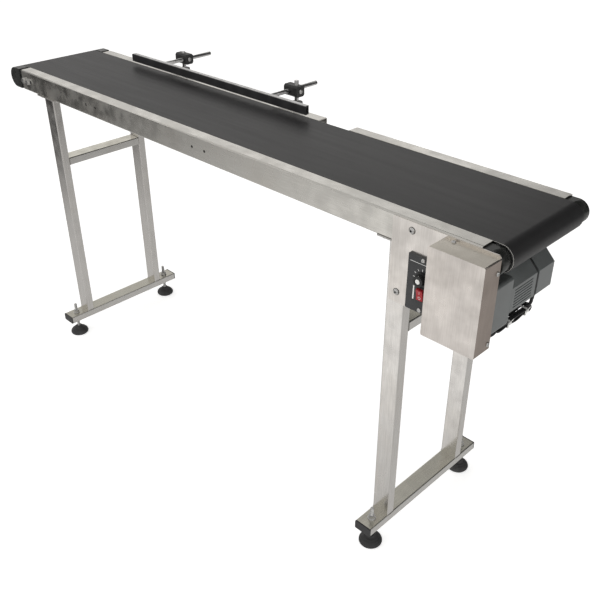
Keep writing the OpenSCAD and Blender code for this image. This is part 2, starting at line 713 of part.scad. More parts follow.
module switch_body() color("#151515") difference() {
    union() {
        along_y(front_y - 1.5, front_y) translate([panel_x, switch_z])
            round_rect(-9, 9, -13.5, 13.5, 1.5);
        translate([panel_x - 7.9, front_y - eps, switch_z - 12.3]) cube([15.8, 24, 24.6]);
    }
    translate([panel_x - 7, front_y - 3, switch_z - 11.5]) cube([14, 17, 23]);
}

module rocker_switch() color("#c01820") translate([panel_x, front_y, switch_z])
    rotate([switch_tilt, 0, 0]) along_x(-6.7, 6.7) difference() {
        intersection() {
            circle(11.2);
            translate([-5.5, -11]) square([11, 22]);
        }
        translate([-46.5, 0]) circle(43);
    }

module speed_knob() color("#101010") difference() {
    union() {
        bar_y(panel_x, knob_z, knob_r, front_y - 3, front_y - gap);
        along_y(front_y - 12, front_y - 3 + eps) translate([panel_x, knob_z]) difference() {
            circle(knob_r - 2.5);
            for (a = [0:20:340]) rotate(a) translate([knob_r - 2.5, 0]) circle(0.7, $fn = 16);
        }
        // shaft through the panel into the potentiometer
        bar_y(panel_x, knob_z, 3, front_y - 4, panel_y + 20);
    }
    // recess for the coloured cap
    difference() {
        bar_y(panel_x, knob_z, 6.4, front_y - 13, front_y - 11.4);
        bar_y(panel_x, knob_z, 5.2, front_y - 14, front_y - 11);
    }
}

// ---------- guide rail ----------

module side_brackets() color("#1a1a1a") for (x = post_x) difference() {
    union() {
        along_y(web_y, web_y + 6) round_rect(x - 40, x + 40, hole_z - 18, hole_z + 18, 4);
        translate([x - 10, web_y + 5, hole_z - 12]) cube([20, post_y - web_y - 12, 24]);
        translate([x, post_y, hole_z - 18]) cylinder(r = 14, h = 36);
    }
    translate([x, post_y, hole_z - 20]) cylinder(r = post_r + fit, h = 40);
    bar_y(x, hole_z, 3, post_y, post_y + 15);
    for (dx = [-28, 28]) bar_y(x + dx, hole_z, 3 + fit, web_y - 1, web_y + 8);
}

module guide_posts() color("gainsboro") for (i = [0, 1])
    translate([post_x[i], post_y, hole_z - 28]) cylinder(r = post_r, h = guide_z + post_top[i] - hole_z + 28);

module cross_clamps() color("#161616") for (i = [0, 1]) difference() {
    // block with chamfered long edges
    along_x(clamp_x[i] - clamp_w / 2, clamp_x[i] + clamp_w / 2) translate([post_y, guide_z]) intersection() {
        square(clamp_s, center = true);
        rotate(45) square(1.2 * clamp_s, center = true);
    }
    translate([post_x[i], post_y, guide_z - 20]) cylinder(r = post_r + fit, h = 40);
    bar_y(rod_x[i], guide_z, post_r + fit, post_y - 20, post_y + 20);
    translate([clamp_x[i] - clamp_w / 2 - 1, post_y, guide_z]) rotate([0, 90, 0])
        cylinder(r = clamp_screw_r, h = clamp_w + 2);
}

// Set screws, one into each side of a clamp
module clamp_screws() color("white") for (i = [0, 1], side = [-1, 1]) {
    face = clamp_x[i] + side * clamp_w / 2;
    bar = side * post_x[i] > side * rod_x[i] ? post_x[i] : rod_x[i];
    translate([face, post_y, guide_z]) rotate([0, 90 * side, 0])
        pan_screw(clamp_screw_r, abs(face - bar) - post_r - gap);
}

module guide_rods() color("white") for (x = rod_x) bar_y(x, guide_z, post_r, guide_y + 6, rod_y1);

// Channel that holds the wear strip: back, top and bottom lips
module guide_holder() color("#d8dada") along_x(guide_x[0], guide_x[1]) difference() {
    round_rect(guide_y - 4, guide_y + 6, guide_z - 10, guide_z + 10, 0.8);
    translate([guide_y - 5, guide_z - 9]) square([9.5, 18]);
}

// Hollow black plastic strip that the goods rub against
module guide_strip() color("#101010") along_x(guide_x[0] - 1.5, guide_x[1] + 1.5) difference() {
    translate([guide_y - 6, guide_z - 8.9]) square([10.3, 17.8]);
    translate([guide_y - 3, guide_z - 6]) square([5, 12]);
}

// ---------- motor lead ----------

function unit(v) = v / norm(v);
function route_dir(p, i) = unit(p[min(i + 1, len(p) - 1)] - p[max(i - 1, 0)]);
function side_of(d) = unit(cross(d, abs(d[2]) > 0.9 ? [0, 1, 0] : [0, 0, 1]));

// One closed tube of radius r along the points of a route
module lead_tube(route, r, sides = 8) {
    count = len(route);
    rings = [for (i = [0:count - 1]) let (d = route_dir(route, i), u = side_of(d), v = cross(u, d))
        for (k = [0:sides - 1]) let (a = 360 * k / sides) route[i] + r * (cos(a) * u + sin(a) * v)];
    walls = [for (i = [0:count - 2], k = [0:sides - 1], half = [0, 1])
        let (n = (k + 1) % sides, a = i * sides + k, b = i * sides + n, c = a + sides, d = b + sides)
        half == 0 ? [a, b, d] : [a, d, c]];
    first = [for (k = [sides - 1:-1:0]) k];
    last = [for (k = [0:sides - 1]) (count - 1) * sides + k];
    polyhedron(concat(rings), concat(walls, [first, last]));
}

function shifted(route) = [for (point = route) point + lead_shift];

module motor_lead() color("#101010") lead_tube(shifted(motor_route), lead_r);
module controller_lead() color("#101010") lead_tube(shifted(controller_route), lead_r);

// The spare lead, folded and tied under the motor
module lead_hank() color("#101010") along_x(hank_x[0], hank_x[1]) {
    half = (hank_z[1] - hank_z[0]) / 2;
    translate([hank_y[0] + half, hank_z[0]]) square([hank_y[1] - hank_y[0] - 2 * half, 2 * half]);
    for (y = [hank_y[0] + half, hank_y[1] - half]) translate([y, hank_z[0] + half]) circle(half);
}

module lead_ties() color("white") for (y = tie_y) along_y(y - 2, y + 2) difference() {
    translate([hank_x[0] - tie_t, hank_z[0] - tie_t])
        square([hank_x[1] - hank_x[0] + 2 * tie_t, hank_z[1] - hank_z[0] + 2 * tie_t]);
    translate([hank_x[0], hank_z[0]]) square([hank_x[1] - hank_x[0], hank_z[1] - hank_z[0]]);
}

side_rail_front();
side_rail_back();
slider_bed();
cross_ties();
conveyor_belt();
drive_side_plate();
drive_cover();
drive_housings();
drive_bearings();
drive_roller();
drive_shaft();
driven_pulley();
timing_belt();
tail_housings();
tail_shaft();
tail_bolts();
tail_roller();
return_roller_tail();
return_roller_drive();
return_axles();
uprights_tail();
uprights_drive();
leg_crossbars();
foot_beams();
beam_end_caps();
leg_top_plates();
frame_bolts();
lock_nuts();
foot_tail_front();
foot_tail_back();
foot_drive_front();
foot_drive_back();
gearbox_housing();
motor_housing();
motor_stator();
fan_cowl();
motor_rotor();
cooling_fan();
layshaft_gear();
output_shaft();
motor_pulley();
controller_case();
controller_panel();
controller_board();
small_screws();
switch_body();
rocker_switch();
speed_knob();
side_brackets();
guide_posts();
cross_clamps();
clamp_screws();
guide_rods();
guide_holder();
guide_strip();
motor_lead();
controller_lead();
lead_hank();
lead_ties();
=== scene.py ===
import math

import bmesh
import bpy
from mathutils import Matrix, Vector


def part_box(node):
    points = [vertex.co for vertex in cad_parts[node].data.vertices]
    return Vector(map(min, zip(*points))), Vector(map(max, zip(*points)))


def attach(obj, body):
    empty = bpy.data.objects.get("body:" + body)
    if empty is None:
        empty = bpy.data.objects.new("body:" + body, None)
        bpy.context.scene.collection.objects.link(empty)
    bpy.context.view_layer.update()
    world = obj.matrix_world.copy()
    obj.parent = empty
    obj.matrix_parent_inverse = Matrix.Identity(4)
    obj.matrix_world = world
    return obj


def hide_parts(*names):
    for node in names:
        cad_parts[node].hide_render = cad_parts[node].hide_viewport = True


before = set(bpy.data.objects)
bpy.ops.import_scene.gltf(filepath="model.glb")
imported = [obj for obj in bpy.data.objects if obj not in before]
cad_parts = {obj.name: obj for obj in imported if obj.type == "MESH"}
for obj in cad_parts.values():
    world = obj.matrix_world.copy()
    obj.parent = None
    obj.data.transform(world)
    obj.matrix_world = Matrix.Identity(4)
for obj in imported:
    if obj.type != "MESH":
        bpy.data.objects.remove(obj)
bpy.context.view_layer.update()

# Belt conveyor section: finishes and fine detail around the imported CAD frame.
# Lengths are in metres, in the CAD's own frame: X along the belt, Y across it, Z up.

MM = 0.001

# ---------- places taken from the frame ----------

def middle(name):
    """Centre of a CAD node's box, as (x, y, z)."""
    low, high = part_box(name)
    return tuple((a + b) / 2 for a, b in zip(low, high))


AXIS_X, _, AXIS_Z = middle("drive_roller")
BELT_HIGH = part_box("conveyor_belt")[1]
BELT_HALF = BELT_HIGH.y
BELT_T = 2 * MM
NOSE_R = BELT_HIGH.x - AXIS_X
IDLER_X = middle("return_roller_drive")[0]
RETURN_GAP = 0.3 * MM
RETURN_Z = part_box("return_roller_drive")[1].z + RETURN_GAP

PANEL_LOW, PANEL_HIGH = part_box("controller_panel")
PANEL_X = middle("controller_panel")[0]
KNOB_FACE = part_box("speed_knob")[0].y
KNOB_Z = middle("speed_knob")[2]
SWITCH_Z = middle("switch_body")[2]
HANK_LOW, HANK_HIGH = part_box("lead_hank")

# Routes of the two leads, as in the CAD source, in millimetres
LEAD_R = 2.9 * MM
MOTOR_ROUTE = [(694, 8, 673), (700, 8, 676), (707, 8, 677), (714, 8, 675), (720, 8, 670), (726, 8, 664),
               (731, 8, 657), (733, 8, 648), (733, 8, 636), (733, 8, 624), (733, 8, 613), (732, 8, 604),
               (731, 8, 597), (729, 5, 592), (725, 1, 589)]
CONTROLLER_ROUTE = [(724, -82, 582), (724, -90, 577), (720, -97, 573), (711, -102, 571), (700, -104, 570),
                    (688, -104, 570), (676, -104, 570), (664, -103, 571), (652, -103, 573),
                    (641, -102, 575), (631, -101, 578), (622, -100, 582), (615, -100, 588),
                    (612, -100, 597)]


# ---------- camera, floor and light ----------

def make_camera():
    """The photograph's viewpoint, solved from the object's straight edges."""
    place = (1.2521, -1.0706, 1.2976)
    yaw, pitch, roll = math.radians(134.88), math.radians(-31.53), math.radians(-0.2)
    ahead = Vector((math.cos(pitch) * math.cos(yaw), math.cos(pitch) * math.sin(yaw), math.sin(pitch)))
    right = ahead.cross(Vector((0, 0, 1))).normalized()
    up = right.cross(ahead)
    level_right = right
    right = math.cos(roll) * level_right + math.sin(roll) * up
    up = math.cos(roll) * up - math.sin(roll) * level_right
    data = bpy.data.cameras.new("camera")
    data.lens = 47.0
    data.sensor_width = 36.0
    camera = bpy.data.objects.new("camera", data)
    bpy.context.scene.collection.objects.link(camera)
    turn = Matrix((right, up, -ahead)).transposed().to_4x4()
    camera.matrix_world = Matrix.Translation(place) @ turn
    bpy.context.scene.camera = camera


def make_world():
    """Soft studio light: brightness by elevation, one dark and one bright area of the room that the
    front faces reflect, and a dark area beyond the drive end."""
    world = bpy.data.worlds.new("studio")
    bpy.context.scene.world = world
    world.use_nodes = True
    nodes, links = world.node_tree.nodes, world.node_tree.links
    background = nodes["Background"]
    coords = nodes.new("ShaderNodeTexCoord")
    split = nodes.new("ShaderNodeSeparateXYZ")
    links.new(coords.outputs["Generated"], split.inputs["Vector"])
    height = nodes.new("ShaderNodeMapRange")
    height.inputs["From Min"].default_value = -1
    height.inputs["From Max"].default_value = 1
    links.new(split.outputs["Z"], height.inputs["Value"])
    # sine of the elevation and the brightness there
    levels = [(-1.0, 0.55), (-0.60, 0.52), (-0.48, 0.53), (-0.41, 0.51), (-0.33, 0.50), (-0.20, 0.45),
              (0.02, 0.32), (0.18, 0.45), (0.28, 1.00), (0.36, 1.00), (0.50, 0.52), (1.0, 0.60)]
    profile = nodes.new("ShaderNodeValToRGB")
    profile.color_ramp.interpolation = "EASE"
    while len(profile.color_ramp.elements) < len(levels):
        profile.color_ramp.elements.new(0.5)
    for element, (sine, bright) in zip(profile.color_ramp.elements, levels):
        element.position = (sine + 1) / 2
        element.color = (bright, bright, bright, 1)
    links.new(height.outputs["Result"], profile.inputs["Fac"])
    level = profile.outputs["Color"]
    # direction, cosine where the area starts, cosine where it is full, change in brightness
    areas = [((-0.87, -0.45, -0.14), 0.957, 0.990, -0.52),
             ((-0.48, -0.72, -0.50), 0.968, 0.997, 0.44),
             ((0.86, 0.45, -0.20), 0.990, 0.996, -0.40),
             ((0.28, 0.84, 0.46), 0.69, 0.90, -0.80)]
    for direction, start, full, change in areas:
        dot = nodes.new("ShaderNodeVectorMath")
        dot.operation = "DOT_PRODUCT"
        dot.inputs[1].default_value = Vector(direction).normalized()
        links.new(coords.outputs["Generated"], dot.inputs[0])
        ease = nodes.new("ShaderNodeMapRange")
        ease.interpolation_type = "SMOOTHSTEP"
        ease.inputs["From Min"].default_value = start
        ease.inputs["From Max"].default_value = full
        ease.inputs["To Max"].default_value = change
        links.new(dot.outputs["Value"], ease.inputs["Value"])
        total = nodes.new("ShaderNodeMath")
        links.new(level, total.inputs[0])
        links.new(ease.outputs["Result"], total.inputs[1])
        level = total.outputs["Value"]
    floor_level = nodes.new("ShaderNodeMath")
    floor_level.operation = "MAXIMUM"
    floor_level.inputs[1].default_value = 0.03
    links.new(level, floor_level.inputs[0])
    links.new(floor_level.outputs["Value"], background.inputs["Strength"])
    background.inputs["Color"].default_value = (1.0, 0.985, 0.965, 1)


def make_floor():
    """Large white floor that stays out of the reflections."""
    bpy.ops.mesh.primitive_plane_add(size=40, location=(0, 0, 0))
    floor = bpy.context.object
    floor.name = "floor"
    floor.visible_glossy = False
    material, shader = new_material("studio_floor", (0.93, 0.93, 0.93), 0.9)
    shader.inputs["Emission Color"].default_value = (1, 1, 1, 1)
    shader.inputs["Emission Strength"].default_value = 0.62
    floor.data.materials.append(material)


def make_lights():
    """Large soft boxes: the key from the front left, a fill from the right and one overhead.
    They light matt surfaces only; the polished ones mirror the room."""
    boxes = [("key", (-0.9, -2.6, 2.4), (0.1, 0, 0.6), 2.2, 14),
             ("fill", (2.8, 0.6, 2.0), (0.4, 0, 0.6), 1.6, 3),
             ("overhead", (0.2, -0.6, 3.2), (0, 0, 0.7), 2.4, 8)]
    for name, place, target, size, power in boxes:
        data = bpy.data.lights.new(name, "AREA")
        data.size = size
        data.energy = power
        lamp = bpy.data.objects.new(name, data)
        bpy.context.scene.collection.objects.link(lamp)
        lamp.location = place
        lamp.rotation_euler = (Vector(target) - Vector(place)).to_track_quat("-Z", "Y").to_euler()
        lamp.visible_glossy = False


# ---------- material helpers ----------

def new_material(name, colour, rough, metallic=0.0, **sockets):
    """A Principled material with its constants set on the shader's own sockets."""
    material = bpy.data.materials.new(name)
    material.use_nodes = True
    shader = material.node_tree.nodes["Principled BSDF"]
    shader.inputs["Base Color"].default_value = (*colour, 1)
    shader.inputs["Roughness"].default_value = rough
    shader.inputs["Metallic"].default_value = metallic
    for socket, value in sockets.items():
        shader.inputs[socket.replace("_", " ")].default_value = value
    return material, shader


def noise(material, stretch, scale, detail=3.0, rough=0.5):
    """Noise in the object's own space, stretched by a scale for each axis; gives its value socket."""
    nodes, links = material.node_tree.nodes, material.node_tree.links
    coords = nodes.new("ShaderNodeTexCoord")
    mapping = nodes.new("ShaderNodeMapping")
    mapping.inputs["Scale"].default_value = stretch
    links.new(coords.outputs["Object"], mapping.inputs["Vector"])
    texture = nodes.new("ShaderNodeTexNoise")
    texture.inputs["Scale"].default_value = scale
    texture.inputs["Detail"].default_value = detail
    texture.inputs["Roughness"].default_value = rough
    links.new(mapping.outputs["Vector"], texture.inputs["Vector"])
    return texture.outputs["Fac"]


def ramp(material, value, stops):
    """Colour ramp over a value, from a list of (position, colour)."""
    node = material.node_tree.nodes.new("ShaderNodeValToRGB")
    material.node_tree.links.new(value, node.inputs["Fac"])
    while len(node.color_ramp.elements) < len(stops):
        node.color_ramp.elements.new(0.5)
    for element, (position, colour) in zip(node.color_ramp.elements, stops):
        element.position = position
        element.color = (*colour, 1)
    return node.outputs["Color"]


def spread(material, value, low, high, start=0.3, end=0.7):
    """Maps a value from start..end to low..high."""
    node = material.node_tree.nodes.new("ShaderNodeMapRange")
    node.inputs["From Min"].default_value = start
    node.inputs["From Max"].default_value = end
    node.inputs["To Min"].default_value = low
    node.inputs["To Max"].default_value = high
    material.node_tree.links.new(value, node.inputs["Value"])
    return node.outputs["Result"]


def blend_colours(material, factor, first, second, mode="MIX"):
    """Mixes two colours, each a tuple or a socket, by a factor that is a number or a socket."""
    node = material.node_tree.nodes.new("ShaderNodeMix")
    node.data_type = "RGBA"
    node.blend_type = mode
    links = material.node_tree.links
    colour_inputs = [s for s in node.inputs if s.type == "RGBA"]
    for socket, value in zip(colour_inputs, (first, second)):
        if isinstance(value, tuple):
            socket.default_value = (*value, 1)
        else:
            links.new(value, socket)
    if isinstance(factor, float):
        node.inputs["Factor"].default_value = factor
    else:
        links.new(factor, node.inputs["Factor"])
    return [s for s in node.outputs if s.type == "RGBA"][0]


def bump(material, shader, height, strength, distance):
    """Fine relief on a shader from a height socket; the distance is in metres."""
    node = material.node_tree.nodes.new("ShaderNodeBump")
    node.inputs["Strength"].default_value = strength
    node.inputs["Distance"].default_value = distance
    material.node_tree.links.new(height, node.inputs["Height"])
    material.node_tree.links.new(node.outputs["Normal"], shader.inputs["Normal"])


def darker(colour, factor):
    return tuple(channel * factor for channel in colour)


# ---------- materials ----------

# Stretch of the brushing noise for sheet that is brushed along each axis
GRAIN = {"X": (1.2, 60, 60), "Y": (60, 1.2, 60), "Z": (60, 60, 1.2), "none": (20, 20, 20)}


def painted_face_shade(material, colour, axis, shade):
    """Multiplies a colour on the faces that look along +axis: painted shade that makes those faces darker,
    as if less light fell on them.
    """
    nodes, links = material.node_tree.nodes, material.node_tree.links
    coords = nodes.new("ShaderNodeTexCoord")
    split = nodes.new("ShaderNodeSeparateXYZ")
    links.new(coords.outputs["Normal"], split.inputs["Vector"])
    painted_shade_mask = spread(material, split.outputs[axis], 0, 1, 0.6, 0.95)
    return blend_colours(material, painted_shade_mask, colour, shade, "MULTIPLY")


def brushed_steel(name, colour, grain, rough=0.36, tint=(0.62, 0.56, 0.49), painted_face_shades=()):
    """Stainless sheet: fine brushing along one axis, faint warm stains and smudges, and painted shade on
    the faces that look along each given axis.
    """
    material, shader = new_material(name, colour, rough, 1.0)
    links = material.node_tree.links
    streaks = noise(material, GRAIN[grain], 22, 4)
    wide = noise(material, GRAIN[grain], 3, 2)
    stains = noise(material, (1, 1, 1), 9, 4, 0.6)
    brushed = ramp(material, streaks, [(0.25, darker(colour, 0.84)), (0.75, darker(colour, 1.07))])
    banded = blend_colours(material, spread(material, wide, 0, 0.25), brushed, darker(colour, 0.9))
    stained_with_painted_shade = blend_colours(material, spread(material, stains, 0, 0.25, 0.45, 0.8), banded, tint)
    # painted shade: each listed axis darkens the faces that look along it, standing in for light and shade
    for axis, shade in painted_face_shades:
        stained_with_painted_shade = painted_face_shade(material, stained_with_painted_shade, axis, shade)
    links.new(stained_with_painted_shade, shader.inputs["Base Color"])
    smudged = noise(material, (1, 1, 1), 30, 3)
    links.new(spread(material, smudged, rough - 0.06, rough + 0.1), shader.inputs["Roughness"])
    bump(material, shader, streaks, 0.25, 0.00006)
    return material


def plain_metal(name, colour, rough, wear=0.12):
    """Machined, plated or polished metal with faint turning marks and dull spots."""
    material, shader = new_material(name, colour, rough, 1.0)
    links = material.node_tree.links
    marks = noise(material, (1, 1, 1), 260, 3)
    dull = noise(material, (1, 1, 1), 70, 2)
    shade = ramp(material, dull, [(0.3, darker(colour, 1 - 2 * wear)), (0.7, colour)])
    links.new(shade, shader.inputs["Base Color"])
    links.new(spread(material, marks, rough * 0.8, rough * 1.35), shader.inputs["Roughness"])
    bump(material, shader, marks, 0.12, 0.00004)
    return material


def moulded_plastic(name, colour, rough, grain_scale=900, dust=0.05):
    """Moulded plastic or rubber: fine spark-eroded grain and a little dust in patches."""
    material, shader = new_material(name, colour, rough)
    links = material.node_tree.links
    grain = noise(material, (1, 1, 1), grain_scale, 2)
    patches = noise(material, (1, 1, 1), 35, 4, 0.6)
    dusty = tuple(min(1, channel + dust) for channel in colour)
    shade = ramp(material, patches, [(0.45, colour), (0.8, dusty)])
    links.new(shade, shader.inputs["Base Color"])
    links.new(spread(material, patches, rough - 0.05, rough + 0.12), shader.inputs["Roughness"])
    bump(material, shader, grain, 0.3, 0.00008)
    return material


def belt_rubber():
    """Matt PVC cover with a fine fabric imprint, rub marks along the run and light dust."""
    colour = (0.010, 0.010, 0.0105)
    material, shader = new_material("belt_rubber", colour, 0.44, Specular_IOR_Level=0.7)
    nodes, links = material.node_tree.nodes, material.node_tree.links
    rubbed = noise(material, (0.6, 14, 14), 7, 4)
    cloud = noise(material, (1, 1, 1), 3.5, 3)
    dusty = ramp(material, cloud, [(0.35, colour), (0.75, (0.014, 0.014, 0.015))])
    lined = blend_colours(material, spread(material, rubbed, 0, 0.15), dusty, (0.020, 0.020, 0.021))
    links.new(lined, shader.inputs["Base Color"])
    links.new(spread(material, rubbed, 0.42, 0.48), shader.inputs["Roughness"])
    coords = nodes.new("ShaderNodeTexCoord")
    waves = []
    for axis in "XY":
        wave = nodes.new("ShaderNodeTexWave")
        wave.bands_direction = axis
        wave.inputs["Scale"].default_value = 260
        wave.inputs["Distortion"].default_value = 0.6
        links.new(coords.outputs["Object"], wave.inputs["Vector"])
        waves.append(wave.outputs["Fac"])
    weave = nodes.new("ShaderNodeMath")
    weave.operation = "MULTIPLY"
    links.new(waves[0], weave.inputs[0])
    links.new(waves[1], weave.inputs[1])
    bump(material, shader, weave.outputs["Value"], 0.35, 0.0001)
    return material


def motor_paint():
    """Grey hammered enamel over cast aluminium, with thin wear."""
    colour = (0.120, 0.130, 0.130)
    material, shader = new_material("motor_paint", colour, 0.34, Coat_Weight=0.3)
    links = material.node_tree.links
    peel = noise(material, (1, 1, 1), 420, 2)
    patches = noise(material, (1, 1, 1), 14, 4, 0.6)
    shade = ramp(material, patches, [(0.35, darker(colour, 0.88)), (0.7, darker(colour, 1.16))])
    links.new(shade, shader.inputs["Base Color"])
    links.new(spread(material, patches, 0.28, 0.42), shader.inputs["Roughness"])
    bump(material, shader, peel, 0.35, 0.00012)
    return material


def cord_ply():
    """Cut edge of the belt's woven carcass: pale threads."""
    colour = (0.62, 0.61, 0.58)
    material, shader = new_material("belt_ply", colour, 0.7)
    threads = noise(material, (1, 1, 1), 700, 2)
    shade = ramp(material, threads, [(0.3, (0.38, 0.37, 0.35)), (0.65, colour)])
    material.node_tree.links.new(shade, shader.inputs["Base Color"])
    bump(material, shader, threads, 0.5, 0.0002)
    return material


MATERIALS = {
    "rail": brushed_steel("rail_sheet", (0.755, 0.74, 0.70), "X", 0.25),
    "plate": brushed_steel("plate_sheet", (0.93, 0.89, 0.85), "Z", 0.32),
    # cover: its +X faces and its top are darkened by painted shade
    "cover": brushed_steel("cover_sheet_painted_shade", (0.88, 0.83, 0.79), "Z", 0.32,
                           painted_face_shades=(("X", (0.52, 0.47, 0.44)), ("Z", (0.80, 0.80, 0.75)))),
    "upright": brushed_steel("leg_tube_upright", (0.83, 0.81, 0.785), "Z", 0.2),
    # crossbars and foot beams: their tops are darkened by painted shade
    "cross": brushed_steel("leg_tube_cross_painted_shade", (0.80, 0.79, 0.765), "Y", 0.22,
                           painted_face_shades=(("Z", (0.84, 0.83, 0.76)),)),
    "sheet": brushed_steel("folded_sheet", (0.70, 0.69, 0.67), "none", 0.42),
    "chrome": plain_metal("chrome_bar", (0.80, 0.80, 0.80), 0.14),
    "zinc": plain_metal("zinc_plate", (0.78, 0.78, 0.77), 0.26),
    "machined": plain_metal("machined_steel", (0.60, 0.60, 0.59), 0.32),
    "drum": plain_metal("turned_drum", (0.66, 0.66, 0.66), 0.3),
    "alloy": plain_metal("alloy_channel", (0.74, 0.74, 0.74), 0.32),
    "copper": plain_metal("copper_winding", (0.72, 0.30, 0.14), 0.35),
    "weld": plain_metal("weld_metal", (0.62, 0.60, 0.57), 0.4, 0.2),
    "belt": belt_rubber(),
    "ply": cord_ply(),
    "housing": moulded_plastic("cast_black", (0.016, 0.017, 0.016), 0.24, 500, 0.012),
    "plastic": moulded_plastic("black_plastic", (0.018, 0.018, 0.019), 0.36, 900, 0.02),
    "strip": moulded_plastic("guide_plastic", (0.020, 0.020, 0.022), 0.4, 700, 0.02),
    "pad": moulded_plastic("foot_rubber", (0.030, 0.030, 0.031), 0.5, 600, 0.05),
    "cable": moulded_plastic("cable_sheath", (0.012, 0.012, 0.013), 0.3, 1200, 0.012),
    "panel": moulded_plastic("panel_black", (0.030, 0.031, 0.033), 0.34, 900, 0.03),
    "knob": moulded_plastic("knob_plastic", (0.015, 0.015, 0.015), 0.3, 1200, 0.015),
    "white": moulded_plastic("white_plastic", (0.82, 0.82, 0.80), 0.38, 1200, 0.0),
    "print": moulded_plastic("white_print", (0.80, 0.80, 0.78), 0.55, 1500, 0.0),
    "red": moulded_plastic("switch_red", (0.36, 0.010, 0.018), 0.22, 1500, 0.02),
    "black_oxide": plain_metal("black_oxide", (0.035, 0.035, 0.035), 0.35, 0.1),
    "board": moulded_plastic("circuit_board", (0.02, 0.14, 0.05), 0.4, 500, 0.02),
    "timing": moulded_plastic("timing_rubber", (0.02, 0.02, 0.02), 0.55, 800, 0.03),
    "paint": motor_paint(),
}

# Finish of each CAD node that stays, and the width of the rounding on its sharp edges in millimetres
FINISHES = [
    ("rail", 0.4, "side_rail_front side_rail_back"),
    ("sheet", 0.3, "slider_bed cross_ties leg_top_plates"),
    ("plate", 0.5, "drive_side_plate"),
    ("cover", 1.0, "drive_cover"),
    ("upright", 0.0, "uprights_tail uprights_drive"),
    ("cross", 0.0, "leg_crossbars foot_beams"),
    ("housing", 0.7, "drive_housings tail_housings"),
    ("plastic", 0.5, "beam_end_caps side_brackets cross_clamps controller_case switch_body cooling_fan"),
    ("panel", 0.4, "controller_panel"),
    ("knob", 0.3, "speed_knob"),
    ("red", 0.4, "rocker_switch"),
    ("strip", 0.5, "guide_strip"),
    ("alloy", 0.3, "guide_holder"),
    ("chrome", 0.6, "guide_posts guide_rods"),
    ("zinc", 0.25, "frame_bolts lock_nuts tail_bolts small_screws clamp_screws"),
    ("machined", 0.3, "drive_bearings drive_shaft driven_pulley tail_shaft return_axles motor_rotor"),
    ("machined", 0.0, "layshaft_gear output_shaft motor_pulley"),
    ("drum", 0.3, "drive_roller tail_roller return_roller_tail return_roller_drive"),
    ("copper", 0.4, "motor_stator"),
    ("board", 0.2, "controller_board"),
    ("timing", 0.2, "timing_belt"),
    ("paint", 0.8, "gearbox_housing motor_housing fan_cowl"),
    ("white", 0.15, "lead_ties"),
]


SAME_POINT = 0.01 * MM
FLAT_ANGLE = math.radians(0.5)
SHARP_ANGLE = math.radians(40)


def round_edges(piece, width):
    """Joins the mesh's split corners and rounds its sharp edges by a small bevel."""
    weld = piece.modifiers.new("join", "WELD")
    weld.merge_threshold = SAME_POINT
    flat = piece.modifiers.new("flatten", "DECIMATE")
    flat.decimate_type = "DISSOLVE"
    flat.angle_limit = FLAT_ANGLE
    bevel = piece.modifiers.new("round", "BEVEL")
    bevel.width = width
    bevel.segments = 2
    bevel.limit_method = "ANGLE"
    bevel.angle_limit = SHARP_ANGLE
    bevel.harden_normals = True


def finish_cad_nodes():
    """Gives each CAD node that stays its material and the rounding of its edges."""
    for material, width, names in FINISHES:
        for name in names.split():
            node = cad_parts[name]
            node.data.materials.clear()
            node.data.materials.append(MATERIALS[material])
            if width:
                round_edges(node, width * MM)


# ---------- mesh helpers ----------

def add_piece(name, mesh, material, body, stands_for=()):
    """Puts a mesh in the scene as a piece that rides on a CAD body."""
    piece = bpy.data.objects.new(name, mesh)
    bpy.context.scene.collection.objects.link(piece)
    mesh.materials.append(MATERIALS[material])
    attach(piece, body)
    if stands_for:
        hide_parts(*stands_for)
    return piece


def turns(sides):
    """Equal angles round a full circle."""
    return [2 * math.pi * k / sides for k in range(sides)]


def grid_mesh(name, rings, closed_rings=False):
    """Smooth mesh from rings of points with the same count; each ring is closed, and the ends are capped
    unless the rings themselves form a loop."""
    mesh = bpy.data.meshes.new(name)
    form = bmesh.new()
    add_grid(form, rings, closed_rings)
    bmesh.ops.recalc_face_normals(form, faces=form.faces)
    form.to_mesh(mesh)
    form.free()
    mesh.shade_smooth()
    return mesh


def add_grid(form, rings, closed_rings=False):
    """Adds the faces between neighbouring rings, and the two end caps of an open row of rings."""
    rows = [[form.verts.new(point) for point in ring] for ring in rings]
    count = len(rows[0])
    pairs = list(zip(rows, rows[1:]))
    if closed_rings:
        pairs.append((rows[-1], rows[0]))
    for first, second in pairs:
        for k in range(count):
            n = (k + 1) % count
            form.faces.new((first[k], first[n], second[n], second[k]))
    if not closed_rings:
        form.faces.new(rows[0])
        form.faces.new(rows[-1][::-1])


def smooth_route(points, steps=5):
    """Catmull-Rom curve through the points."""
    points = [Vector(p) for p in points]
    padded = [2 * points[0] - points[1]] + points + [2 * points[-1] - points[-2]]
    route = []
    for a, b, c, d in zip(padded, padded[1:], padded[2:], padded[3:]):
        for i in range(steps):
            t = i / steps
            route.append(0.5 * (2 * b + (c - a) * t + (2 * a - 5 * b + 4 * c - d) * t * t
                                + (3 * b - a - 3 * c + d) * t ** 3))
    return route + [points[-1]]


def tube_rings(route, radius, sides=14):
    """Rings of points round a route, carried along it without twisting; radius may be a function of t."""
    rings = []
    side = None
    for i, point in enumerate(route):
        ahead = (route[min(i + 1, len(route) - 1)] - route[max(i - 1, 0)]).normalized()
        if side is None:
            side = ahead.orthogonal().normalized()
        side = (side - ahead * side.dot(ahead)).normalized()
        other = ahead.cross(side)
        size = radius(i / (len(route) - 1)) if callable(radius) else radius
        rings.append([point + size * (math.cos(a) * side + math.sin(a) * other)
                      for a in turns(sides)])
    return rings


